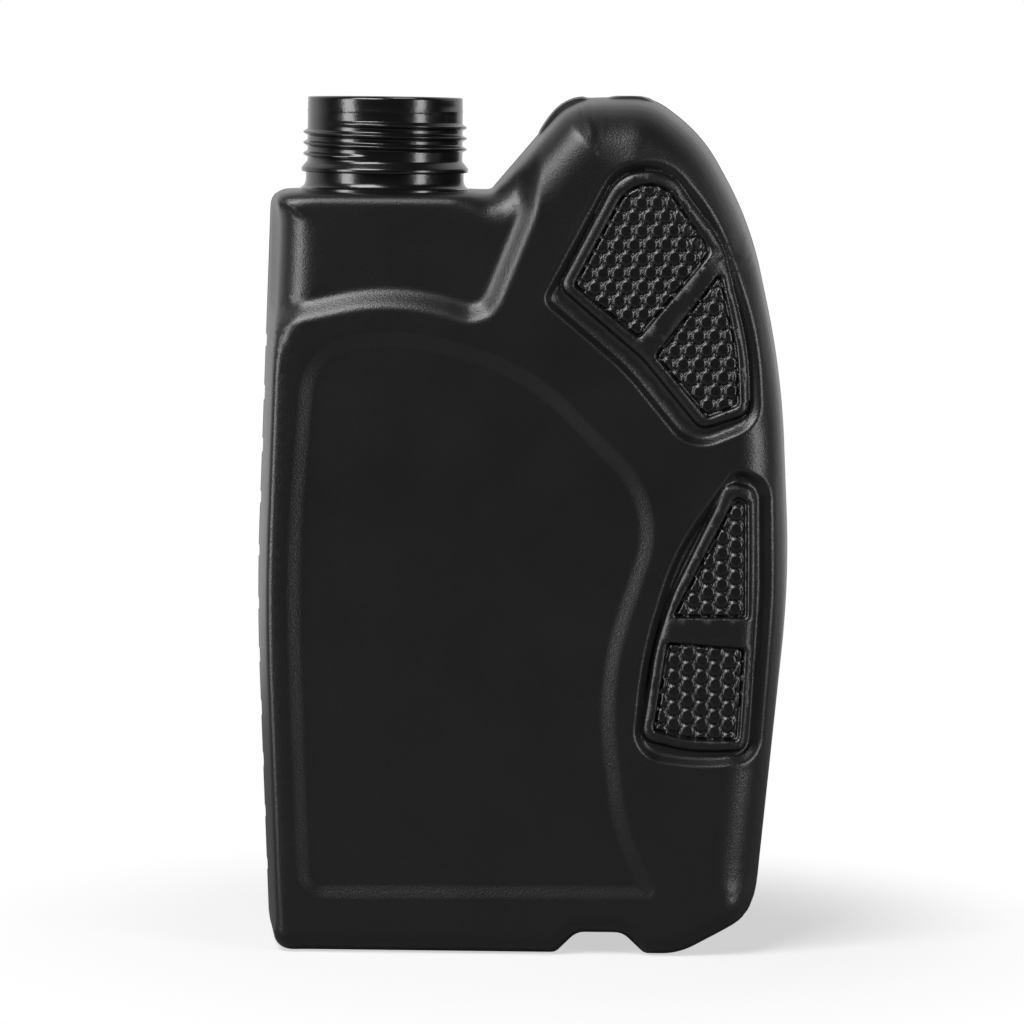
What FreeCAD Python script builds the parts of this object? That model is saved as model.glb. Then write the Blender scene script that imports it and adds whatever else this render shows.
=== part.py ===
import FreeCAD, Part
import math
import os

# Driving dimensions, in millimetres
SIZES = [
    ("body_width", 141.4),
    ("body_height", 226.2),
    ("body_depth", 56.0),
    ("wall", 1.0),
    ("base_round", 6.0),
    ("handle_round", 13.0),
    ("hump_rise", 25.2),
    ("shoulder_depth", 49.0),
    ("shoulder_round", 4.0),
    ("neck_radius", 20.55),
    ("neck_foot_radius", 20.95),
    ("neck_wall", 1.6),
    ("neck_height", 24.2),
    ("neck_flare", 2.4),
    ("bead_radius", 22.15),
    ("bead_height", 4.3),
    ("bead_width", 1.3),
    ("bead_slope", 1.7),
    ("label_depth", 1.2),
    ("label_bevel", 4.6),
    ("groove_depth", 2.4),
    ("frame_depth", 0.6),
    ("pad_depth", 1.9),
    ("notch_width", 24.0),
    ("notch_height", 6.0),
    ("mark_pitch", 14.1),
    ("mark_height", 2.3),
    ("mark_depth", 0.9),
    ("mark_width", 11.0),
]
MARK_COUNT = 11
LOWEST_MARK = 19.4
PLANE_MARGIN = 0.6
SMALLEST_ROUND = 0.2
OVERHANG = 40.0
BORE_REACH = 10.0
NECK_SHARE = -0.268
NOTCH_SHARE = 0.1535
FRONT_AXIS = FreeCAD.Vector(1, 0, 0)

doc = FreeCAD.newDocument("oil_bottle")
sheet = doc.addObject("Spreadsheet::Sheet", "Sizes")
for row, (alias, value) in enumerate(SIZES, start=1):
    sheet.set("A%d" % row, alias)
    sheet.set("B%d" % row, str(value))
    sheet.setAlias("B%d" % row, alias)
doc.recompute()


def size(alias):
    return float(sheet.get(alias))


LEFT = -size("body_width") / 2
RIGHT = size("body_width") / 2
TOP = size("body_height")
SHOULDER = TOP - size("hump_rise")
HALF_DEPTH = size("body_depth") / 2
HALF_SHOULDER = size("shoulder_depth") / 2
body_forms = {}


# Outlines in the front plane: each corner is its place across the body in hundredths of the
# width, its height in hundredths of the height, and the radius that rounds it in those too.
def fitted(corners):
    wide = size("body_width") / 100
    high = TOP / 100
    return [(x * wide, z * high, radius * high) for x, z, radius in corners]


# The body is what two blocks share. This one is true at the left and along the base.
def base_corners():
    foot, bulge = fitted([(-47.24, 0, 3.98), (-50.28, 40.67, 265.25)])
    return [
        foot,
        (RIGHT + OVERHANG, 0, 0),
        (RIGHT + OVERHANG, TOP + OVERHANG, 0),
        (foot[0], TOP + OVERHANG, 0),
        bulge,
    ]


# And this one is true at the right and over the grip's hump
def handle_corners():
    outline = fitted([
        (30.06, 0, 0),
        (44.91, 5.08, 6.63),
        (50.64, 43.32, 110.52),
        (48.23, 67.64, 97.26),
        (41.87, 85.28, 39.79),
        (32.74, 95.45, 17.68),
        (23.06, 100.13, 7.07),
        (7.78, 99.69, 6.63),
        (-6.72, 88.42, 1.33),
    ])
    foot, heel, saddle = [FreeCAD.Vector(*outline[index][:2], 0) for index in (0, 1, -1)]
    under = foot + (foot - heel).normalize() * (size("body_width") + OVERHANG)
    return [(under.x, under.y, 0)] + outline[1:] + [(under.x, saddle.y, 0)]


def shoulder_corners():
    return fitted([
        (-49.08, 66.31, 0.00),
        (5.87, 66.31, 0.00),
        (5.87, 88.86, 0.00),
        (-48.02, 88.86, 1.99),
    ])


# The ledge between the shoulder block and the body, at the block's face
def ledge_inner_corners():
    return fitted([
        (-56.36, 73.83, 0.00),
        (-23.34, 79.05, 26.53),
        (-9.05, 76.13, 0.66),
        (-2.19, 87.09, 0.00),
        (-6.51, 89.08, 0.00),
        (-56.36, 89.08, 0.00),
    ])


# The same ledge at the body's face
def ledge_outer_corners():
    return fitted([
        (-56.36, 71.53, 0.00),
        (-21.92, 76.30, 26.53),
        (-6.86, 73.92, 0.66),
        (0.92, 87.09, 0.00),
        (-3.32, 89.08, 0.00),
        (-56.36, 89.08, 0.00),
    ])


def label_corners():
    return fitted([
        (-41.73, 6.19, 3.54),
        (26.87, 6.63, 0.97),
        (20.16, 15.25, 25.20),
        (16.62, 32.27, 35.81),
        (27.23, 53.05, 12.38),
        (1.41, 69.19, 26.53),
        (-22.28, 73.39, 23.43),
        (-41.37, 71.40, 7.07),
        (-44.55, 45.76, 178.60),
    ])


def upper_rim_corners():
    return fitted([
        (3.18, 76.48, 1.33),
        (16.27, 92.18, 4.86),
        (25.46, 92.84, 5.31),
        (35.01, 86.21, 20.34),
        (42.79, 72.28, 30.95),
        (43.49, 62.56, 3.54),
        (30.76, 59.24, 4.42),
        (18.39, 68.52, 26.97),
    ])


def upper_frame_corners():
    return fitted([
        (6.51, 78.16, 1.11),
        (16.97, 90.89, 4.42),
        (25.88, 91.69, 3.98),
        (35.57, 83.78, 13.26),
        (41.16, 71.18, 30.95),
        (41.44, 63.88, 1.33),
        (32.67, 62.07, 1.33),
        (21.92, 70.07, 8.84),
    ])


def upper_pad_corners():
    return [
        fitted([
            (8.49, 78.25, 0.53),
            (18.03, 89.74, 3.98),
            (25.46, 90.63, 3.54),
            (34.65, 82.45, 0.97),
            (20.86, 72.06, 0.53),
        ]),
        fitted([
            (36.07, 80.46, 0.53),
            (39.60, 70.73, 17.68),
            (39.96, 64.54, 0.84),
            (33.59, 63.00, 0.53),
            (23.69, 70.29, 0.53),
        ]),
    ]


def lower_rim_corners():
    return fitted([
        (39.25, 57.47, 1.77),
        (45.62, 55.70, 3.09),
        (46.11, 42.88, 44.21),
        (44.55, 23.43, 2.87),
        (33.95, 22.37, 26.53),
        (20.86, 23.65, 3.54),
        (22.63, 35.81, 50.84),
        (28.29, 47.75, 28.74),
    ])


def lower_frame_corners():
    return fitted([
        (37.84, 55.35, 1.11),
        (43.14, 54.91, 1.33),
        (43.42, 42.88, 88.42),
        (42.36, 24.62, 1.11),
        (31.82, 24.45, 17.68),
        (22.77, 25.73, 1.33),
        (25.11, 36.25, 26.53),
        (28.08, 42.44, 17.68),
    ])


def lower_pad_corners():
    return [
        fitted([
            (27.58, 39.79, 0.49),
            (42.08, 39.79, 0.49),
            (41.73, 53.49, 0.49),
            (39.25, 54.38, 0.75),
        ]),
        fitted([
            (26.87, 37.14, 0.49),
            (41.73, 36.47, 0.49),
            (41.02, 25.42, 0.71),
            (31.12, 25.42, 16.80),
            (24.40, 26.53, 0.57),
        ]),
    ]


def notch_corners():
    half = size("notch_width") / 2
    place = NOTCH_SHARE * size("body_width")
    height = size("notch_height")
    return [
        (place - half, -PLANE_MARGIN, 0),
        (place - half / 2, height, height),
        (place + half / 2, height, height),
        (place + half, -PLANE_MARGIN, 0),
    ]


# Moves every side of an outline outward by a distance, or inward where it is negative
def grown(corners, distance):
    area = 0
    for index, corner in enumerate(corners):
        before = corners[index - 1]
        area += before[0] * corner[1] - corner[0] * before[1]
    turn = math.copysign(1, area)
    moved = []
    for index, corner in enumerate(corners):
        here = FreeCAD.Vector(corner[0], corner[1], 0)
        before = FreeCAD.Vector(corners[index - 1][0], corners[index - 1][1], 0)
        after_corner = corners[(index + 1) % len(corners)]
        after = FreeCAD.Vector(after_corner[0], after_corner[1], 0)
        arriving = (here - before).normalize()
        leaving = (after - here).normalize()
        bend = arriving.x * leaving.y - arriving.y * leaving.x
        outward = FreeCAD.Vector(arriving.y + leaving.y, -arriving.x - leaving.x, 0)
        outward.normalize()
        half_cosine = outward.dot(FreeCAD.Vector(arriving.y, -arriving.x, 0))
        place = here + outward * (turn * distance / half_cosine)
        radius = corner[2]
        if radius > 0:
            change = distance if bend * turn > 0 else -distance
            radius = max(radius + change, SMALLEST_ROUND)
        moved.append((place.x, place.y, radius))
    return moved


# Carries one outline toward another with as many corners: 0 gives the first, 1 the second
def between(first, second, share):
    mixed = []
    for start, end in zip(first, second):
        mixed.append(tuple(a + (b - a) * share for a, b in zip(start, end)))
    return mixed


# Adds an outline to a sketch as straight lines and the arcs that round its corners
def draw_outline(sketch, corners):
    points = [FreeCAD.Vector(x, z, 0) for x, z, radius in corners]
    ends = []
    arcs = []
    for index, (x, z, radius) in enumerate(corners):
        here = points[index]
        back = (points[index - 1] - here).normalize()
        ahead = (points[(index + 1) % len(points)] - here).normalize()
        if radius <= 0:
            ends.append((here, here))
            arcs.append(None)
            continue
        opening = back.getAngle(ahead)
        reach = radius / math.tan(opening / 2)
        middle_way = (back + ahead).normalize()
        middle = here + middle_way * (radius / math.sin(opening / 2) - radius)
        start = here + back * reach
        end = here + ahead * reach
        ends.append((start, end))
        arcs.append(Part.Arc(start, middle, end))
    for index, arc in enumerate(arcs):
        if arc is not None:
            sketch.addGeometry(arc, False)
        leave = ends[index][1]
        arrive = ends[(index + 1) % len(ends)][0]
        if leave.distanceToPoint(arrive) > 1e-6:
            sketch.addGeometry(Part.LineSegment(leave, arrive), False)


# A sketch of one outline that faces the front and stands at a depth
def front_sketch(name, corners, depth=0):
    sketch = doc.addObject("Sketcher::SketchObject", name)
    sketch.Placement = FreeCAD.Placement(
        FreeCAD.Vector(0, -depth, 0), FreeCAD.Rotation(FRONT_AXIS, 90)
    )
    draw_outline(sketch, corners)
    return sketch


# A block with one outline, as deep on both sides of the middle plane
def block(name, corners, half_depth_expression):
    sketch = front_sketch(name + "_outline", corners)
    extrusion = doc.addObject("Part::Extrusion", name)
    extrusion.Base = sketch
    extrusion.DirMode = "Normal"
    extrusion.Solid = True
    extrusion.setExpression("LengthFwd", half_depth_expression)
    extrusion.setExpression("LengthRev", half_depth_expression)
    return extrusion


def through_block(name, corners):
    return block(name, corners, "Sizes.body_depth / 2 + %s" % PLANE_MARGIN)


# A block whose outline changes evenly from one depth to the next
def loft(name, sections):
    tool = doc.addObject("Part::Loft", name)
    sketches = []
    for index, (corners, depth) in enumerate(sections):
        sketches.append(front_sketch("%s_section_%d" % (name, index + 1), corners, depth))
    tool.Sections = sketches
    tool.Solid = True
    tool.Ruled = True
    return tool


def mirrored(source):
    mirror = doc.addObject("Part::Mirroring", source.Name + "_back")
    mirror.Source = source
    mirror.Normal = FreeCAD.Vector(0, 1, 0)
    return mirror


def cut(name, base, tool):
    result = doc.addObject("Part::Cut", name)
    result.Base = base
    result.Tool = tool
    return result


def common(name, first, second):
    result = doc.addObject("Part::MultiCommon", name)
    result.Shapes = [first, second]
    return result


def fuse(name, shapes):
    result = doc.addObject("Part::MultiFuse", name)
    result.Shapes = shapes
    result.Refine = False
    return result


# A block whose front and back edges are rounded inside a box that leaves out its overhang
def rounded_block(name, corners, half_depth_expression, radius, keep):
    plain = block(name + "_block", corners, half_depth_expression)
    doc.recompute()
    rounded = doc.addObject("Part::Fillet", name)
    rounded.Base = plain
    edges = []
    for index, edge in enumerate(plain.Shape.Edges, start=1):
        ends = [vertex.Point for vertex in edge.Vertexes]
        crosses = abs(ends[0].y - ends[-1].y) > 1e-6
        if not crosses and keep(edge.CenterOfMass):
            edges.append((index, radius, radius))
    rounded.Edges = edges
    return rounded


# The whole body without its shoulder block, smaller all round by an inset
def body_form(inset):
    if inset in body_forms:
        return body_forms[inset]
    name = "body_form_%d" % (len(body_forms) + 1)
    half_depth = "Sizes.body_depth / 2 - %s" % inset
    base_round = max(size("base_round") - inset, SMALLEST_ROUND)
    base_side = rounded_block(
        name + "_base",
        grown(base_corners(), -inset),
        half_depth,
        base_round,
        lambda place: place.x < RIGHT and place.z < TOP,
    )
    handle_round = max(size("handle_round") - inset, SMALLEST_ROUND)
    handle_side = rounded_block(
        name + "_handle",
        grown(handle_corners(), -inset),
        half_depth,
        handle_round,
        lambda place: place.x > LEFT - OVERHANG / 2,
    )
    body_forms[inset] = common(name, base_side, handle_side)
    return body_forms[inset]


# The shoulder block under the neck, narrower in depth than the body
def shoulder_form(name, inset):
    return rounded_block(
        name,
        grown(shoulder_corners(), -inset),
        "Sizes.shoulder_depth / 2 - %s" % inset,
        max(size("shoulder_round") - inset, SMALLEST_ROUND),
        lambda place: place.x < 0 and place.z > SHOULDER - size("body_depth"),
    )


# What is cut from the body above the ledge that carries the shoulder block
def ledge_tool(name, inset):
    inner = grown(ledge_inner_corners(), inset)
    outer = grown(ledge_outer_corners(), inset)
    face = HALF_DEPTH - inset
    step = HALF_SHOULDER - inset
    beyond = 1 + PLANE_MARGIN / (face - step)
    wide = between(inner, outer, beyond)
    edge = face + PLANE_MARGIN
    return loft(name, [(wide, edge), (inner, step), (inner, -step), (wide, -edge)])


# A shallow panel with a sloping border, for the front or the back
def label_tool(name, inset):
    top = grown(label_corners(), inset)
    bottom = grown(label_corners(), inset - size("label_bevel"))
    face = HALF_DEPTH - inset
    beyond = between(bottom, top, 1 + PLANE_MARGIN / size("label_depth"))
    front = loft(name, [(beyond, face + PLANE_MARGIN), (bottom, face - size("label_depth"))])
    return [front, mirrored(front)]


def neck_form(name):
    sketch = doc.addObject("Sketcher::SketchObject", name + "_section")
    sketch.Placement = FreeCAD.Placement(FreeCAD.Vector(), FreeCAD.Rotation(FRONT_AXIS, 90))
    middle = NECK_SHARE * size("body_width")
    foot = size("neck_foot_radius")
    wall = size("neck_radius")
    bead = size("bead_radius")
    bead_bottom = SHOULDER + size("bead_height")
    bead_top = bead_bottom + size("bead_width")
    flare = size("neck_flare")
    top = SHOULDER + size("neck_height")
    section = [
        (middle, SHOULDER - flare, 0),
        (middle + foot + flare, SHOULDER - flare, 0),
        (middle + foot + flare, SHOULDER, 0),
        (middle + foot, SHOULDER + flare, 0),
        (middle + foot, bead_bottom, 0),
        (middle + bead, bead_bottom, 0),
        (middle + bead, bead_top, 0),
        (middle + wall, bead_top + size("bead_slope"), 0),
        (middle + wall, top, 0),
        (middle, top, 0),
    ]
    draw_outline(sketch, section)
    turned = doc.addObject("Part::Revolution", name)
    turned.Source = sketch
    turned.Axis = FreeCAD.Vector(0, 0, 1)
    turned.setExpression("Base.x", "Sizes.body_width * %s" % NECK_SHARE)
    turned.Angle = 360
    turned.Solid = True
    return turned


def neck_bore(name):
    bore = doc.addObject("Part::Cylinder", name)
    bore.setExpression("Radius", "Sizes.neck_radius - Sizes.neck_wall")
    bore.setExpression("Height", "Sizes.neck_height + %s" % (BORE_REACH + PLANE_MARGIN))
    bore.setExpression("Placement.Base.x", "Sizes.body_width * %s" % NECK_SHARE)
    bore.setExpression(
        "Placement.Base.z", "Sizes.body_height - Sizes.hump_rise - %s" % BORE_REACH
    )
    return bore


# The part of a through block that lies outside the body form of some inset
def skin_tool(name, corners, depth):
    return cut(name, through_block(name + "_block", corners), body_form(depth))


# Several tools that lie apart, taken as one
def together(name, tools):
    compound = doc.addObject("Part::Compound", name)
    compound.Links = tools
    return compound


# Body, shoulder block and the sunk faces, smaller all round by an inset
def whole_form(name, inset, neck):
    body = cut(name + "_body", body_form(inset), ledge_tool(name + "_ledge", inset))
    whole = fuse(name + "_whole", [body, shoulder_form(name + "_shoulder", inset), neck])
    tools = label_tool(name + "_label", inset)
    floor = size("groove_depth") + inset
    tools.append(skin_tool(name + "_upper_grip", grown(upper_rim_corners(), inset), floor))
    tools.append(skin_tool(name + "_lower_grip", grown(lower_rim_corners(), inset), floor))
    tools.append(through_block(name + "_notch", grown(notch_corners(), inset)))
    return cut(name, whole, together(name + "_tools", tools))


# The raised frame that stands in a grip's groove around its pads
def grip_frame(name, corners):
    return common(name, through_block(name + "_block", corners), body_form(size("frame_depth")))


# What is sunk in the frames of the grips
def pad_tools():
    tools = []
    for index, corners in enumerate(upper_pad_corners() + lower_pad_corners(), start=1):
        tools.append(skin_tool("pad_%d" % index, corners, size("pad_depth")))
    return tools


# The row of level marks down the left side
def mark_tool():
    marks = []
    for index in range(MARK_COUNT):
        mark = doc.addObject("Part::Box", "mark_%d" % (index + 1))
        mark.Length = 4 * size("base_round")
        mark.setExpression("Width", "Sizes.mark_width")
        mark.setExpression("Height", "Sizes.mark_height")
        height = LOWEST_MARK + index * size("mark_pitch") - size("mark_height") / 2
        mark.Placement.Base = FreeCAD.Vector(
            LEFT - 2 * size("base_round"), -size("mark_width") / 2, height
        )
        marks.append(mark)
    return cut("mark_grooves", together("mark_row", marks), body_form(size("mark_depth")))


outside = whole_form("outside", 0, neck_form("neck"))
upper_frame = grip_frame("upper_frame", upper_frame_corners())
lower_frame = grip_frame("lower_frame", lower_frame_corners())
framed = fuse("framed", [outside, upper_frame, lower_frame])
finished = cut("finished", framed, together("sunk_parts", pad_tools() + [mark_tool()]))
cavity = whole_form("cavity", size("wall"), neck_bore("bore"))
bottle = cut("bottle_solid", finished, cavity)
bottle.Label = "bottle"
doc.recompute()

for item in doc.Objects:
    if "Invalid" in item.State or "Error" in item.State:
        raise RuntimeError("%s did not build: %s" % (item.Name, item.State))
if bottle.Shape.isNull() or not bottle.Shape.isValid() or len(bottle.Shape.Solids) != 1:
    raise RuntimeError("the bottle is not one valid solid")
os.makedirs("parts", exist_ok=True)
bottle.Shape.exportStep("parts/bottle.step")
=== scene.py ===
import math

import bmesh
import bpy
import numpy as np
from mathutils import Matrix, Vector
from mathutils.geometry import delaunay_2d_cdt


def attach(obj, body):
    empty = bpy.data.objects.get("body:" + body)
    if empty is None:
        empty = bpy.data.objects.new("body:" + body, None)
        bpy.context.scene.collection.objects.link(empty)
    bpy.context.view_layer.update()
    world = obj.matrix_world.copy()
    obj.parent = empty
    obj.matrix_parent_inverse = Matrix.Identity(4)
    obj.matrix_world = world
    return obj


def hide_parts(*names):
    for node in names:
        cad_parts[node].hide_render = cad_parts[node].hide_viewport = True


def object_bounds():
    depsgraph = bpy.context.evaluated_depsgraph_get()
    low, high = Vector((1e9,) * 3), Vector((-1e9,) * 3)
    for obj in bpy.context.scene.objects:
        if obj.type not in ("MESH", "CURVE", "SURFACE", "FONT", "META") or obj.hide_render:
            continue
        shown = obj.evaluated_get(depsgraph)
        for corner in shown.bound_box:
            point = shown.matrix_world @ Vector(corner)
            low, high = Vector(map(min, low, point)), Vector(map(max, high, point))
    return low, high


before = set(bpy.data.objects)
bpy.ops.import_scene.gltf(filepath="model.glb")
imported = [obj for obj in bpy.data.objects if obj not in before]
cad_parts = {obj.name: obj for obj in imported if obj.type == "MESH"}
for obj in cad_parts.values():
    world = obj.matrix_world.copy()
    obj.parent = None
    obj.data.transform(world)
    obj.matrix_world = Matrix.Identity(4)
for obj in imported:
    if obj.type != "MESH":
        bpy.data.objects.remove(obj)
cad_low, cad_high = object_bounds()

# Lengths are in millimetres up to the point where a mesh is made
MM = 0.001
HALF_DEPTH = 27.85
HALF_SHOULDER = 24.5
SHOULDER_FOOT = 166
NECK_X = -37.9
BORE = 18.95
SEAM_WIDTH = 0.35
SEAM_RISE = 0.16
MARK_PITCH = 14.1
LOWEST_MARK = 19.4
MARK_COUNT = 11
MARK_HALF = 5.6
MARK_DEPTH = 0.8
PAD_HALF = 5.6
HOLLOW_INSET = 5.0
HOLLOW_HALF = 20.5
HOLLOW_BEVEL = 1.5
# How wide the front edge is rounded, and how far the side wall leans in, at each part of the outline
ROUND = {"side": 12.5, "left": 2.4, "hump": 18.5, "shoulder": 10.5, "base": 6.5, "top": 3.6, "slope": 13.0}
LEAN = {"side": 0.9, "left": 3.0, "base": 0.0, "top": 0.4}

# Outlines in the front plane: x, z and the radius that rounds the corner
BODY = [
    (-66.8, 0, 7), (9.9, 0, 2), (15.4, 5.5, 5), (27.6, 5.5, 5), (33.4, 0, 2), (42.5, 0, 18),
    (63.5, 11.5, 15), (71.2, 98, 250), (68.2, 153, 220), (59.2, 193, 90), (46.3, 215.8, 40),
    (32.6, 226.2, 17), (11, 225.4, 15), (-9.5, 201, 3), (-67.9, 200.6, 4.5), (-70.9, 92, 600),
]
LEDGE_INNER = [
    (-95, 164.5, 0), (-33, 178.8, 60), (-12.8, 172.2, 3), (-3.1, 197, 0), (-3.1, 240, 0), (-95, 240, 0),
]
LABEL = [
    (-59, 14, 8), (38, 15, 2.6), (28.5, 34.5, 57), (23.5, 73, 81), (38.5, 120, 28),
    (2, 156.5, 60), (-31.5, 166, 53), (-58.5, 161.5, 16), (-63, 103.5, 404),
]
UPPER_RIM = [
    (4.5, 173, 3), (23, 208.5, 11), (36, 210, 12), (49.5, 195, 46), (60.5, 163.5, 70),
    (61.5, 141.5, 8), (43.5, 134, 10), (26, 155, 61),
]
UPPER_FRAME = [
    (9.2, 176.8, 2.5), (24, 205.6, 10), (36.6, 207.4, 9), (50.3, 189.5, 30), (58.2, 161, 70),
    (58.6, 144.5, 3), (46.2, 140.4, 3), (31, 158.5, 20),
]
PADS = [
    [(12, 177, 1.2), (25.5, 203, 9), (36, 205, 8), (49, 186.5, 2.2), (29.5, 163, 1.2)],
    [(51, 182, 1.2), (56, 160, 40), (56.5, 146, 1.9), (47.5, 142.5, 1.2), (33.5, 159, 1.2)],
    [(39, 90, 1.1), (59.5, 90, 1.1), (59, 121, 1.1), (55.5, 123, 1.7)],
    [(38, 84, 1.1), (59, 82.5, 1.1), (58, 57.5, 1.6), (44, 57.5, 38), (34.5, 60, 1.3)],
]
PAD_TURN = [math.radians(-28), math.radians(-28), 0.0, 0.0]
LOWER_RIM = [
    (55.5, 130, 4), (64.5, 126, 7), (65.2, 97, 100), (63, 53, 6.5), (48, 50.6, 60),
    (29.5, 53.5, 8), (32, 81, 115), (40, 108, 65),
]
LOWER_FRAME = [
    (53.5, 125.2, 2.5), (61, 124.2, 3), (61.4, 97, 200), (59.9, 55.7, 2.5), (45, 55.3, 40),
    (32.2, 58.2, 3), (35.5, 82, 60), (39.7, 96, 40),
]
LABEL_DEPTH = 1.3
LABEL_BEVEL = 4.6
GROOVE_DEPTH = 2.4
FRAME_DEPTH = 0.6
PAD_DEPTH = 1.9
PEBBLE_RISE = 0.85
PEBBLE_ACROSS = 3.6
PEBBLE_ALONG = 4.2


# The outline as evenly spaced points, its corners rounded
def rounded(corners, step):
    points = []
    count = len(corners)
    for index, (x, z, radius) in enumerate(corners):
        here = np.array([x, z], float)
        back = np.array(corners[index - 1][:2], float) - here
        ahead = np.array(corners[(index + 1) % count][:2], float) - here
        back /= np.linalg.norm(back)
        ahead /= np.linalg.norm(ahead)
        if radius <= 0:
            points.append(here)
            continue
        opening = math.acos(np.clip(back @ ahead, -1, 1))
        reach = radius / math.tan(opening / 2)
        way = back + ahead
        centre = here + way / np.linalg.norm(way) * (radius / math.sin(opening / 2))
        start = here + back * reach - centre
        turn = math.pi - opening
        sign = math.copysign(1, back[0] * ahead[1] - back[1] * ahead[0])
        pieces = max(2, int(math.ceil(turn * radius / min(step, 1.0))))
        for k in range(pieces + 1):
            angle = -sign * turn * k / pieces
            c, s = math.cos(angle), math.sin(angle)
            points.append(centre + (start[0] * c - start[1] * s, start[0] * s + start[1] * c))
    points = np.array(points)
    closed = np.vstack([points, points[:1]])
    run = np.concatenate([[0], np.cumsum(np.linalg.norm(np.diff(closed, axis=0), axis=1))])
    total = max(8, int(round(run[-1] / step)))
    at = np.linspace(0, run[-1], total, endpoint=False)
    return np.column_stack([np.interp(at, run, closed[:, k]) for k in (0, 1)])


def area_sign(loop):
    after = np.roll(loop, -1, axis=0)
    return math.copysign(1, np.sum(loop[:, 0] * after[:, 1] - after[:, 0] * loop[:, 1]))


# Unit normals that point out of a closed loop
def outward(loop):
    along = np.roll(loop, -1, axis=0) - np.roll(loop, 1, axis=0)
    along /= np.linalg.norm(along, axis=1)[:, None]
    return np.column_stack([along[:, 1], -along[:, 0]]) * area_sign(loop)


# How deep points lie inside a loop (negative outside), and the nearest place on it
def depth_in(points, loop):
    start = loop
    run = np.roll(loop, -1, axis=0) - loop
    length = np.sum(run * run, axis=1)
    depth = np.empty(len(points))
    near = np.empty((len(points), 2))
    part = np.empty(len(points), int)
    for low in range(0, len(points), 4000):
        p = points[low:low + 4000, None, :]
        share = np.clip(np.sum((p - start) * run, axis=2) / length, 0, 1)
        foot = start + run * share[..., None]
        gap = np.sum((p - foot) ** 2, axis=2)
        best = np.argmin(gap, axis=1)
        rows = np.arange(len(best))
        crossing = (start[:, 1] > p[..., 1]) != (start[:, 1] + run[:, 1] > p[..., 1])
        with np.errstate(divide="ignore", invalid="ignore"):
            where = start[:, 0] + run[:, 0] * (p[..., 1] - start[:, 1]) / run[:, 1]
        inside = np.sum(crossing & (p[..., 0] < where), axis=1) % 2 == 1
        depth[low:low + 4000] = np.sqrt(gap[rows, best]) * np.where(inside, 1, -1)
        near[low:low + 4000] = foot[rows, best]
        part[low:low + 4000] = best
    return depth, near, part


# 0 below, 1 above, with a soft start and end
def ramp(value):
    t = np.clip(value, 0, 1)
    return t * t * (3 - 2 * t)


# Mostly straight, with rounded ends: a moulded slope rather than a wave
def slope(value):
    t = np.clip(value, 0, 1)
    return 0.5 * t + 0.5 * t * t * (3 - 2 * t)


def closed_smooth(values, width):
    reach = np.arange(-width, width + 1)
    weight = np.exp(-0.5 * (reach / (0.45 * width)) ** 2)
    weight /= weight.sum()
    return sum(w * np.roll(values, -k) for k, w in zip(reach, weight))


SIDE_STEP = 1.1
silhouette = rounded(BODY, SIDE_STEP)
if area_sign(silhouette) < 0:
    silhouette = silhouette[::-1].copy()
out = outward(silhouette)
sx, sz = silhouette[:, 0], silhouette[:, 1]

# Round of the front edge and lean of the side wall, for every place on the silhouette
is_left = (out[:, 0] < -0.8)
is_base = (out[:, 1] < -0.55) & (sz < 20)
is_top = (np.abs(sz - 200.6) < 1.2) & (sx < -8)
is_slope = (sx < 14) & (sx > -9.5) & (sz > 201)
edge_round = np.full(len(silhouette), ROUND["side"])
edge_round[is_left & (sz < SHOULDER_FOOT)] = ROUND["left"]
edge_round[(sx > 14) & (sz > 186)] = ROUND["hump"]
edge_round[is_left & (sz >= SHOULDER_FOOT)] = ROUND["shoulder"]
edge_round[is_base] = ROUND["base"]
edge_round[is_top] = ROUND["top"]
edge_round[is_slope] = ROUND["slope"]
edge_round = closed_smooth(edge_round, 11)
lean = np.full(len(silhouette), LEAN["side"])
lean[is_left] = LEAN["left"]
lean[is_base] = LEAN["base"]
lean[is_top] = LEAN["top"]
lean = closed_smooth(lean, 7)
edge_loop = silhouette - out * lean[:, None]

ledge = rounded(LEDGE_INNER, 2.0)
label = rounded(LABEL, 1.0)
rims = [rounded(UPPER_RIM, 0.6), rounded(LOWER_RIM, 0.6)]
frames = [rounded(UPPER_FRAME, 0.6), rounded(LOWER_FRAME, 0.6)]
pads = [rounded(corners, 0.6) for corners in PADS]


# Moves a loop inward, and leaves out the points that come too near another part of it
def inset_loop(loop, distance):
    moved = loop - outward(loop) * distance
    depth = depth_in(moved, loop)[0]
    keep = depth > distance - 0.12 if distance > 0 else depth < distance + 0.12
    return moved[keep]


# Centres of one pad's pebbles and the two directions that its rows follow
def pebble_grid(pad, turn):
    c, s = math.cos(turn), math.sin(turn)
    across, along = np.array([c, s]), np.array([-s, c])
    middle = pad.mean(axis=0)
    reach = 14
    centres = []
    for column in range(-reach, reach + 1):
        for row in range(-reach, reach + 1):
            shift = 0.5 * (column % 2)
            centres.append(middle + across * column * PEBBLE_ACROSS + along * (row + shift) * PEBBLE_ALONG)
    centres = np.array(centres)
    return centres[depth_in(centres, pad)[0] > 0.2], across, along


pebbles = [pebble_grid(pad, turn) for pad, turn in zip(pads, PAD_TURN)]


# 0 at a pebble's middle and 1 at its rim: a soft hexagon, a little taller than wide
def pebble_distance(offset, across, along):
    u = np.abs(offset @ across) / (PEBBLE_ACROSS * 0.56)
    v = np.abs(offset @ along) / (PEBBLE_ALONG * 0.5)
    flat = np.maximum(v, 0.86 * u + 0.5 * v)
    return 0.7 * flat + 0.3 * np.sqrt(u * u + v * v)


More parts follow.
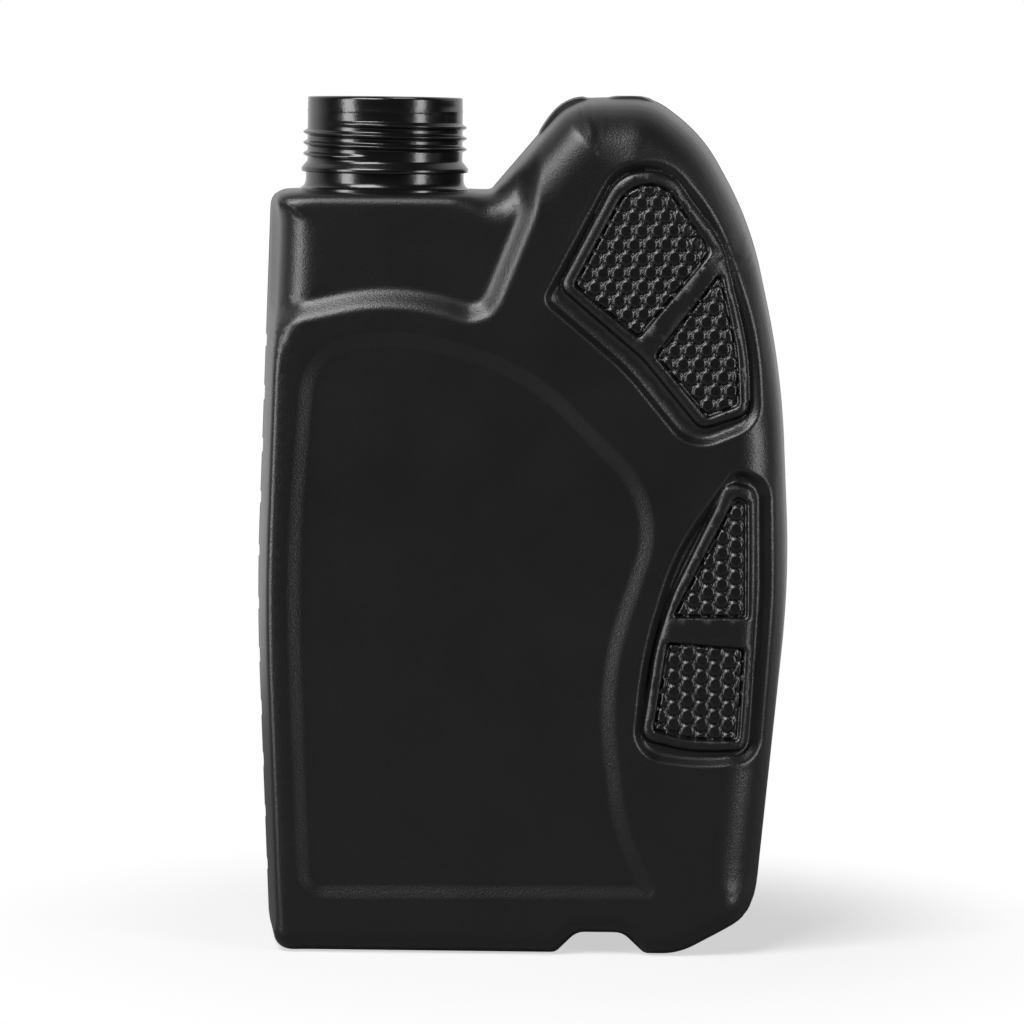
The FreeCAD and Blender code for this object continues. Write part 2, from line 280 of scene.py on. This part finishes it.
def pebble_height(points):
    height = np.zeros(len(points))
    for pad, (centres, across, along) in zip(pads, pebbles):
        low, high = pad.min(axis=0), pad.max(axis=0)
        chosen = np.where(np.all((points > low) & (points < high), axis=1))[0]
        if not len(chosen):
            continue
        place = points[chosen]
        best = np.full(len(place), 9.0)
        for centre in centres:
            best = np.minimum(best, pebble_distance(place - centre, across, along))
        dome = np.clip(1 - (best / 0.93) ** 5, 0, 1) ** 0.5 * (0.72 + 0.28 * ramp(best / 0.7))
        inner = depth_in(place, pad)[0]
        height[chosen] = np.maximum(height[chosen], dome * ramp((inner - 0.7) / 0.5) * (inner > 0))
    return height


# How far the surface is sunk below the plain rounded body
def sunk(points):
    depth = LABEL_DEPTH * slope(depth_in(points, label)[0] / LABEL_BEVEL)
    for rim, ring in zip(rims, frames):
        in_rim = depth_in(points, rim)[0]
        in_frame = depth_in(points, ring)[0]
        lip = 0.12 * np.exp(-((in_rim + 0.5) / 0.8) ** 2)
        groove = GROOVE_DEPTH * slope((in_rim + 0.7) / 2.7)
        raised = (GROOVE_DEPTH - FRAME_DEPTH) * slope((in_frame + 1.0) / 1.15)
        depth += groove - raised - lip
    for pad in pads:
        depth += (PAD_DEPTH - FRAME_DEPTH) * slope((depth_in(points, pad)[0] + 0.1) / 0.75)
    return depth - PEBBLE_RISE * pebble_height(points)


# Places, in order of need; a place too near an earlier one is left out
class Spread:
    def __init__(self, cell):
        self.cell = cell
        self.kept = {}
        self.points = []

    def add(self, places, gap):
        reach = int(math.ceil(gap / self.cell))
        for x, z in places:
            i, j = int(x // self.cell), int(z // self.cell)
            clash = False
            for a in range(i - reach, i + reach + 1):
                for b in range(j - reach, j + reach + 1):
                    for px, pz in self.kept.get((a, b), ()):
                        if (px - x) ** 2 + (pz - z) ** 2 < gap * gap:
                            clash = True
                            break
                    if clash:
                        break
                if clash:
                    break
            if not clash:
                self.kept.setdefault((i, j), []).append((x, z))
                self.points.append((x, z))


spread = Spread(0.8)
spread.add(edge_loop, 0.0)
for centres, across, along in pebbles:
    for centre in centres:
        ring = [(0.0, 1), (0.45, 8), (0.72, 12), (0.86, 14), (0.93, 14), (1.02, 12)]
        places = []
        for share, count in ring:
            for k in range(count):
                angle = 2 * math.pi * (k + 0.5) / count
                way = across * math.cos(angle) + along * math.sin(angle)
                places.append(centre + way * share / pebble_distance(way[None], across, along)[0])
        spread.add(places, 0.14)
for pad in pads:
    for distance in (-0.1, 0.2, 0.45, 0.7, 1.2):
        spread.add(inset_loop(pad, distance), 0.2)
for ring in frames:
    for distance in (-1.0, -0.7, -0.35, 0.0, 0.2):
        spread.add(inset_loop(ring, distance), 0.26)
for rim in rims:
    for distance in (-1.8, -1.1, -0.5, -0.1, 0.3, 0.7, 1.1, 1.6):
        spread.add(inset_loop(rim, distance), 0.3)
for distance in (-0.2, 0.2, 0.6, 1.2, 2.3, 3.4, 4.0, 4.4, 4.9):
    spread.add(inset_loop(label, distance), 0.34)
for distance in (-7.4, -6.8, -6.2, -5.4, -4.6, -3.6, -2.6, -1.6, -0.8, 0.0, 0.8):
    loop = ledge + outward(ledge) * -distance
    spread.add(rounded([(x, z, 0) for x, z in loop], 1.2), 0.45)
for turn in (10, 20, 30, 40, 50, 60, 70, 80, 90):
    inward = edge_round * (1 - math.cos(math.radians(turn)))
    spread.add(edge_loop - out * inward[:, None], 0.42)
fill = 1.9
grid_x, grid_z = np.meshgrid(np.arange(-71, 72, fill), np.arange(0, 227, fill))
grid_x = grid_x + 0.5 * fill * (np.round(grid_z / fill) % 2)
spread.add(np.column_stack([grid_x.ravel(), grid_z.ravel()]), 1.1)

places = np.array(spread.points)
rim_count = len(edge_loop)
edge_depth = depth_in(places, edge_loop)[0]
keep = edge_depth > 0.12
keep[:rim_count] = True
places = places[keep]
flat = [Vector(p) for p in places]
result = delaunay_2d_cdt(flat, [], [list(range(rim_count))], 1, 1e-5, True)
face_places = np.array([tuple(v) for v in result[0]])
face_triangles = np.array([tuple(t) for t in result[2]])
# The triangulation also fills the outline's hollow corners, so what lies outside it goes
inside = depth_in(face_places[face_triangles].mean(axis=1), edge_loop)[0] > 0
face_triangles = face_triangles[inside].tolist()
origin = {}
for index, sources in enumerate(result[3]):
    for source in sources:
        origin[source] = index
rim_index = [origin[k] for k in range(rim_count)]


# The plain rounded body's height and slope at places of the front plane
def plain_form(points):
    depth, near, part = depth_in(points, edge_loop)
    depth = np.maximum(depth, 0)
    size_here = edge_round[part]
    on_ledge = depth_in(points, ledge)[0]
    step = 1 - ramp((on_ledge + 6.6) / 6.2)
    top = HALF_SHOULDER + (HALF_DEPTH - HALF_SHOULDER) * step
    left = np.clip(size_here - depth, 0, None)
    fall = size_here - np.sqrt(np.maximum(size_here ** 2 - left ** 2, 0))
    return top - fall, depth, near, size_here, left


height, inner_depth, nearest, round_here, left_over = plain_form(face_places)
steep = np.clip(left_over / np.sqrt(np.maximum(round_here ** 2 - left_over ** 2, 1e-3)), 0, 30)
toward = face_places - nearest
toward /= np.maximum(np.linalg.norm(toward, axis=1), 1e-6)[:, None]
normal = np.column_stack([-steep * toward[:, 0], np.ones(len(steep)), -steep * toward[:, 1]])
normal /= np.linalg.norm(normal, axis=1)[:, None]
sink = sunk(face_places)
sink *= ramp(inner_depth / 0.5)
face_points = np.column_stack([face_places[:, 0], height, face_places[:, 1]]) - normal * sink[:, None]
for row, index in enumerate(rim_index):
    face_points[index] = (edge_loop[row, 0], height[index], edge_loop[row, 1])

# The side wall, from the parting line at its middle to where the front edge starts to round
ROWS = [0, 0.12, 0.22, 0.35, 0.8, 2.6, 5.6, 6.0, 7.2]
side_heights = height[np.array(rim_index)]
row_points = []
on_left = is_left & (sz < 165)
# Two slim pads stand on the parting line over the hump: where each starts and ends, and its rise
lens_rise = np.zeros(rim_count)
for start, end, rise in ((3.0, 15.6, 1.1), (21.7, 32.5, 0.6)):
    share = np.clip((sx - start) / (end - start), 0, 1)
    lens_rise += rise * np.sqrt(np.sin(np.pi * share).clip(0)) * (sz > 210)
for level in ROWS + [None]:
    share = np.ones(rim_count) if level is None else np.full(rim_count, level) / side_heights
    share = np.clip(share, 0, 1)
    move = lean * share ** 1.5
    if level is not None and level < SEAM_WIDTH:
        rise = SEAM_RISE * (1 - level / SEAM_WIDTH)
        move = move - rise * (sz > 1.0) * (sz < 225.5) * np.where(is_top, 0, 1)
    row = silhouette - out * move[:, None]
    y = side_heights * share
    if level is not None and level <= MARK_HALF:
        for number in range(MARK_COUNT):
            away = np.abs(sz - (LOWEST_MARK + number * MARK_PITCH))
            cut = MARK_DEPTH * (1 - ramp((away - 0.75) / 0.8)) * on_left
            row = row - out * cut[:, None]
    if level is not None and level <= PAD_HALF:
        row = row + out * lens_rise[:, None]
        row[:, 1] = np.minimum(row[:, 1], cad_high[2] / MM - 0.05)
    row_points.append(np.column_stack([row[:, 0], y, row[:, 1]]))


# One closed body: the front half, the same mirrored behind, and the side wall between them
def body_mesh():
    points = []
    faces = []
    front = list(map(tuple, face_points))
    points.extend(front)
    back_start = len(points)
    points.extend([(x, -y, z) for x, y, z in front])
    ring_start = len(points)
    levels = len(ROWS)
    for level in range(levels):
        points.extend(map(tuple, row_points[level]))
    back_ring_start = len(points)
    for level in range(1, levels):
        points.extend([(x, -y, z) for x, y, z in row_points[level]])

    def ring(level, k):
        k %= rim_count
        if level == levels:
            return rim_index[k]
        return ring_start + level * rim_count + k

    def back_ring(level, k):
        k %= rim_count
        if level == 0:
            return ring_start + k
        if level == levels:
            return back_start + rim_index[k]
        return back_ring_start + (level - 1) * rim_count + k

    for a, b, c in face_triangles:
        faces.append((a, c, b))
        faces.append((back_start + a, back_start + b, back_start + c))
    for level in range(levels):
        for k in range(rim_count):
            faces.append((ring(level, k), ring(level, k + 1), ring(level + 1, k + 1), ring(level + 1, k)))
            faces.append((
                back_ring(level, k), back_ring(level + 1, k), back_ring(level + 1, k + 1), back_ring(level, k + 1),
            ))
    return points, faces


# The front half faces the camera, toward -Y
def make_object(name, points, faces):
    mesh = bpy.data.meshes.new(name)
    mesh.from_pydata([(x * MM, -y * MM, z * MM) for x, y, z in points], [], faces)
    mesh.validate()
    made = bpy.data.objects.new(name, mesh)
    bpy.context.scene.collection.objects.link(made)
    return made


# Corners nearer than this, in metres, become one
WELD = 1e-6


# Welds a mesh shut and turns its faces outward, and stops where an edge stays open
def close_up(made):
    work = bmesh.new()
    work.from_mesh(made.data)
    bmesh.ops.remove_doubles(work, verts=work.verts, dist=WELD)
    bmesh.ops.dissolve_degenerate(work, edges=work.edges, dist=WELD)
    for _ in range(4):
        crowded = [e for e in work.edges if len(e.link_faces) > 2]
        slivers = {min(e.link_faces, key=lambda f: f.calc_area()) for e in crowded}
        if slivers:
            bmesh.ops.delete(work, geom=list(slivers), context="FACES")
        loose = [v for v in work.verts if not v.link_faces]
        bmesh.ops.delete(work, geom=loose, context="VERTS")
        open_edges = [e for e in work.edges if len(e.link_faces) == 1]
        if not open_edges:
            break
        bmesh.ops.holes_fill(work, edges=open_edges, sides=0)
    bmesh.ops.triangulate(work, faces=[f for f in work.faces if len(f.verts) > 4])
    bmesh.ops.recalc_face_normals(work, faces=work.faces)
    left_open = sum(1 for e in work.edges if len(e.link_faces) != 2)
    work.to_mesh(made.data)
    work.free()
    if left_open:
        raise RuntimeError("%s has %d open edges" % (made.name, left_open))


body = make_object("bottle_body", *body_mesh())
close_up(body)

# Neck: a turned wall, with a bead and a thread that starts and ends in a taper
NECK_TURNS = 220
THREAD_PITCH = 2.86
THREAD_RISE = 1.15
THREAD_WIDTH = 0.95
THREAD_START = 209.4
THREAD_TURNS = 3.1
neck_heights = np.concatenate([
    [199.8, 201.0, 201.4, 202.0, 202.8, 203.4, 205.2],
    [205.32, 205.5, 206.3, 206.6, 207.2, 207.8, 208.3],
    np.arange(208.6, 219.2, 0.2), [220.2, 221.2, 221.4, 221.6, 221.8, 223.2, 224.4, 224.8, 225.05],
])
# Height and radius of the outer wall, from the foot over the bead to the lip
NECK_PROFILE = [
    (199.8, 22.6), (201.0, 22.4), (201.4, 21.7), (202.0, 21.25), (202.8, 21.02), (203.4, 20.95), (205.2, 20.95),
    (205.32, 21.9), (205.5, 22.1), (206.3, 22.1), (206.6, 21.9), (208.3, 20.55), (221.2, 20.55), (221.5, 20.68),
    (221.8, 20.55), (224.8, 20.5), (225.05, 20.3),
]
neck_radii = np.interp(neck_heights, *zip(*NECK_PROFILE))


def thread_rise(angle, z):
    rise = 0.0
    for turn in range(-1, 5):
        along = angle / (2 * math.pi) + turn
        if 0 <= along <= THREAD_TURNS:
            middle = THREAD_START + along * THREAD_PITCH
            taper = min(1, along / 0.09, (THREAD_TURNS - along) / 0.13)
            form = math.exp(-(abs(z - middle) / (0.62 * THREAD_WIDTH)) ** 2.6)
            rise = max(rise, THREAD_RISE * taper * form)
    return rise


def neck_mesh():
    points = []
    for z, radius in zip(neck_heights, neck_radii):
        for k in range(NECK_TURNS):
            angle = 2 * math.pi * k / NECK_TURNS
            grow = thread_rise((angle - math.radians(8)) % (2 * math.pi), z)
            wide = radius + grow
            points.append((NECK_X - wide * math.sin(angle), wide * math.cos(angle), z))
    inner = [(224.95, 19.3), (224.6, 19.0), (222.0, BORE), (212.0, BORE), (203.0, BORE), (199.9, BORE)]
    for z, radius in inner:
        for k in range(NECK_TURNS):
            angle = 2 * math.pi * k / NECK_TURNS
            points.append((NECK_X - radius * math.sin(angle), radius * math.cos(angle), z))
    levels = len(neck_heights) + len(inner)
    faces = []
    for level in range(levels):
        below, above = level * NECK_TURNS, (level + 1) % levels * NECK_TURNS
        for k in range(NECK_TURNS):
            after = (k + 1) % NECK_TURNS
            faces.append((below + k, below + after, above + after, above + k))
    return points, faces


neck = make_object("bottle_neck", *neck_mesh())
close_up(neck)


# A plain solid that is taken out of the body, so that the mouth leads into a hollow
def hollow_mesh():
    ring = inset_loop(rounded(BODY, 2.0), HOLLOW_INSET)
    straight = HOLLOW_HALF - HOLLOW_BEVEL
    depths = [-HOLLOW_HALF, -straight, straight, HOLLOW_HALF]
    insets = [HOLLOW_BEVEL, 0.0, 0.0, HOLLOW_BEVEL]
    points, faces = [], []
    count = len(ring)
    push = outward(ring)
    for y, inset in zip(depths, insets):
        for k in range(count):
            x, z = ring[k] - push[k] * inset
            points.append((x, y, z))
    for level in range(len(depths) - 1):
        for k in range(count):
            after = (k + 1) % count
            low = level * count
            faces.append((low + k, low + after, low + count + after, low + count + k))
    faces.append(tuple(range(count)))
    last = (len(depths) - 1) * count
    faces.append(tuple(range(last + count - 1, last - 1, -1)))
    return points, faces


def bore_mesh():
    count = 96
    points, faces = [], []
    for z in (190.0, 206.0):
        for k in range(count):
            angle = 2 * math.pi * k / count
            points.append((NECK_X + BORE * math.cos(angle), BORE * math.sin(angle), z))
    for k in range(count):
        after = (k + 1) % count
        faces.append((k, after, count + after, count + k))
    faces.append(tuple(range(count - 1, -1, -1)))
    faces.append(tuple(range(count, 2 * count)))
    return points, faces


def take_out(target, tool):
    close_up(tool)
    before = len(target.data.vertices)
    modifier = target.modifiers.new("hollow", "BOOLEAN")
    modifier.operation = "DIFFERENCE"
    modifier.solver = "MANIFOLD"
    modifier.object = tool
    bpy.context.view_layer.update()
    evaluated = target.evaluated_get(bpy.context.evaluated_depsgraph_get())
    carved = bpy.data.meshes.new_from_object(evaluated)
    target.modifiers.remove(modifier)
    target.data = carved
    if len(carved.vertices) == before:
        raise RuntimeError("%s was not taken out of %s" % (tool.name, target.name))
    bpy.data.objects.remove(tool)


take_out(body, make_object("hollow", *hollow_mesh()))
take_out(body, make_object("bore", *bore_mesh()))


def node(tree, kind, **values):
    made = tree.nodes.new(kind)
    for name, value in values.items():
        setattr(made, name, value)
    return made


# Black moulded plastic: a leather-like grain, with gloss that varies a little over it
def plastic(name, colour, gloss_low, gloss_high, grain, grain_scale):
    material = bpy.data.materials.new(name)
    material.use_nodes = True
    tree = material.node_tree
    links = tree.links
    shader = tree.nodes["Principled BSDF"]
    shader.inputs["IOR"].default_value = 1.5
    place = node(tree, "ShaderNodeTexCoord")
    cells = node(tree, "ShaderNodeTexVoronoi", feature="F1")
    cells.inputs["Scale"].default_value = grain_scale
    links.new(place.outputs["Object"], cells.inputs["Vector"])
    fine = node(tree, "ShaderNodeTexNoise")
    fine.inputs["Scale"].default_value = grain_scale * 2.2
    fine.inputs["Detail"].default_value = 3
    links.new(place.outputs["Object"], fine.inputs["Vector"])
    mixed = node(tree, "ShaderNodeMath", operation="ADD")
    links.new(cells.outputs["Distance"], mixed.inputs[0])
    links.new(fine.outputs["Fac"], mixed.inputs[1])
    bump = node(tree, "ShaderNodeBump")
    bump.inputs["Strength"].default_value = grain
    bump.inputs["Distance"].default_value = 0.00012
    links.new(mixed.outputs[0], bump.inputs["Height"])
    links.new(bump.outputs["Normal"], shader.inputs["Normal"])
    broad = node(tree, "ShaderNodeTexNoise")
    broad.inputs["Scale"].default_value = 38
    broad.inputs["Detail"].default_value = 5
    links.new(place.outputs["Object"], broad.inputs["Vector"])
    gloss = node(tree, "ShaderNodeMapRange")
    gloss.inputs["To Min"].default_value = gloss_low
    gloss.inputs["To Max"].default_value = gloss_high
    links.new(broad.outputs["Fac"], gloss.inputs["Value"])
    links.new(gloss.outputs["Result"], shader.inputs["Roughness"])
    tone = node(tree, "ShaderNodeValToRGB")
    tone.color_ramp.elements[0].color = [c * 0.82 for c in colour] + [1]
    tone.color_ramp.elements[1].color = [c * 1.18 for c in colour] + [1]
    links.new(broad.outputs["Fac"], tone.inputs["Fac"])
    links.new(tone.outputs["Color"], shader.inputs["Base Color"])
    return material


body_plastic = plastic("body_plastic", (0.0034, 0.0034, 0.0038), 0.32, 0.41, 0.28, 1800)
pad_plastic = plastic("pad_plastic", (0.0036, 0.0036, 0.004), 0.24, 0.34, 0.25, 1300)
neck_plastic = plastic("neck_plastic", (0.004, 0.004, 0.0045), 0.15, 0.25, 0.1, 900)

# Edges that bend by more than the last number, in degrees, are shaded as sharp
for made, material, sharp in ((body, body_plastic, 80), (neck, neck_plastic, 50)):
    made.data.materials.clear()
    made.data.materials.append(material)
    for polygon in made.data.polygons:
        polygon.use_smooth = True
    made.data.set_sharp_from_angle(angle=math.radians(sharp))
    if made is body:
        made.data.materials.append(pad_plastic)
        centres = np.empty(3 * len(made.data.polygons))
        made.data.polygons.foreach_get("center", centres)
        centres = centres.reshape(-1, 3) / MM
        in_pad = np.zeros(len(centres), bool)
        for pad in pads:
            in_pad |= depth_in(centres[:, [0, 2]], pad)[0] > -0.1
        in_pad &= np.abs(centres[:, 1]) > 0.5 * HALF_DEPTH
        made.data.polygons.foreach_set("material_index", in_pad.astype(np.int32))
    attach(made, "root")
    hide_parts("bottle")

# A pale floor that shows as white and keeps the bottle's shadow
FLOOR = 0.45
FLOOR_SEEN = (0.80, 0.80, 0.80, 1)
FLOOR_DIM = (0.22, 0.22, 0.22, 1)
FADE_START = 0.07
FADE_END = 0.17
FADE_LEAST = 0.58
floor_mesh = bpy.data.meshes.new("floor")
floor_mesh.from_pydata(
    [(-FLOOR, -FLOOR, 0), (FLOOR, -FLOOR, 0), (FLOOR, FLOOR, 0), (-FLOOR, FLOOR, 0)], [], [(0, 1, 2, 3)]
)
floor = bpy.data.objects.new("floor", floor_mesh)
bpy.context.scene.collection.objects.link(floor)
floor_material = bpy.data.materials.new("floor")
floor_material.use_nodes = True
floor_shader = floor_material.node_tree.nodes["Principled BSDF"]
floor_shader.inputs["Roughness"].default_value = 0.9
floor_shader.inputs["Specular IOR Level"].default_value = 0.1
floor_mesh.materials.append(floor_material)
# To the camera the floor fades to plain white away from the bottle, and keeps its shadow near it
floor_tree = floor_material.node_tree
floor_place = node(floor_tree, "ShaderNodeTexCoord")
reach = node(floor_tree, "ShaderNodeVectorMath", operation="LENGTH")
floor_tree.links.new(floor_place.outputs["Object"], reach.inputs[0])
fade = node(floor_tree, "ShaderNodeMapRange", interpolation_type="SMOOTHSTEP")
fade.inputs["From Min"].default_value = FADE_START
fade.inputs["From Max"].default_value = FADE_END
fade.inputs["To Min"].default_value = FADE_LEAST
fade.inputs["To Max"].default_value = 1.0
floor_tree.links.new(reach.outputs["Value"], fade.inputs["Value"])
floor_path = node(floor_tree, "ShaderNodeLightPath")
white_share = node(floor_tree, "ShaderNodeMath", operation="MULTIPLY")
floor_tree.links.new(fade.outputs["Result"], white_share.inputs[0])
floor_tree.links.new(floor_path.outputs["Is Camera Ray"], white_share.inputs[1])
shade = node(floor_tree, "ShaderNodeMix", data_type="RGBA")
shade.inputs["A"].default_value = FLOOR_DIM
shade.inputs["B"].default_value = FLOOR_SEEN
floor_tree.links.new(floor_path.outputs["Is Camera Ray"], shade.inputs["Factor"])
floor_tree.links.new(shade.outputs["Result"], floor_shader.inputs["Base Color"])
white = node(floor_tree, "ShaderNodeEmission")
mixed_floor = node(floor_tree, "ShaderNodeMixShader")
floor_tree.links.new(white_share.outputs[0], mixed_floor.inputs[0])
floor_tree.links.new(floor_shader.outputs[0], mixed_floor.inputs[1])
floor_tree.links.new(white.outputs[0], mixed_floor.inputs[2])
floor_tree.links.new(mixed_floor.outputs[0], floor_tree.nodes["Material Output"].inputs["Surface"])

# The backdrop is white to the camera, and to gloss that faces it; the camera's side is dim
STUDIO_DIM = 0.015
world = bpy.data.worlds.new("studio")
bpy.context.scene.world = world
world.use_nodes = True
tree = world.node_tree
background = tree.nodes["Background"]
path = node(tree, "ShaderNodeLightPath")
through = node(tree, "ShaderNodeMath", operation="MAXIMUM")
tree.links.new(path.outputs["Is Glossy Ray"], through.inputs[0])
tree.links.new(path.outputs["Is Transmission Ray"], through.inputs[1])
direction = node(tree, "ShaderNodeTexCoord")
parts = node(tree, "ShaderNodeSeparateXYZ")
tree.links.new(direction.outputs["Generated"], parts.inputs[0])
behind = node(tree, "ShaderNodeMapRange")
behind.inputs["From Min"].default_value = 0.0
behind.inputs["From Max"].default_value = 0.5
tree.links.new(parts.outputs["Y"], behind.inputs["Value"])
facing = node(tree, "ShaderNodeMath", operation="MULTIPLY")
tree.links.new(through.outputs[0], facing.inputs[0])
tree.links.new(behind.outputs["Result"], facing.inputs[1])
seen = node(tree, "ShaderNodeMath", operation="MAXIMUM")
tree.links.new(path.outputs["Is Camera Ray"], seen.inputs[0])
tree.links.new(facing.outputs[0], seen.inputs[1])
strength = node(tree, "ShaderNodeMapRange")
strength.inputs["To Min"].default_value = STUDIO_DIM
strength.inputs["To Max"].default_value = 1.0
tree.links.new(seen.outputs[0], strength.inputs["Value"])
background.inputs["Color"].default_value = (1, 1, 1, 1)
tree.links.new(strength.outputs["Result"], background.inputs["Strength"])


def soft_light(name, place, aim, wide, tall, power):
    light = bpy.data.lights.new(name, "AREA")
    light.shape = "RECTANGLE"
    light.size = wide
    light.size_y = tall
    light.energy = power
    made = bpy.data.objects.new(name, light)
    made.location = place
    made.rotation_euler = (Vector(aim) - Vector(place)).to_track_quat("-Z", "Y").to_euler()
    bpy.context.scene.collection.objects.link(made)


MIDDLE = (0, 0, 0.11)
soft_light("left_light", (-0.97, -0.66, 0.25), MIDDLE, 0.36, 0.9, 11)
soft_light("right_light", (0.96, -0.70, 0.25), MIDDLE, 0.30, 0.9, 8.5)
soft_light("top_light", (-0.40, -0.55, 0.95), MIDDLE, 0.6, 0.5, 13)

# The camera stands where the photograph's did, rolled a little
FOCAL = 173.8
CAMERA_PLACE = (-3.03, -1315, 241.62)
PITCH = math.radians(5.5)
ROLL = math.radians(0.7)
camera_data = bpy.data.cameras.new("camera")
camera_data.lens = FOCAL
camera_data.sensor_width = 36
camera = bpy.data.objects.new("camera", camera_data)
bpy.context.scene.collection.objects.link(camera)
camera.matrix_world = (
    Matrix.Translation([value * MM for value in CAMERA_PLACE])
    @ Matrix.Rotation(math.pi / 2 - PITCH, 4, "X")
    @ Matrix.Rotation(ROLL, 4, "Z")
)
camera_data.clip_start = 0.05
camera_data.clip_end = 50
bpy.context.scene.camera = camera
bpy.context.scene.view_settings.view_transform = "Standard"
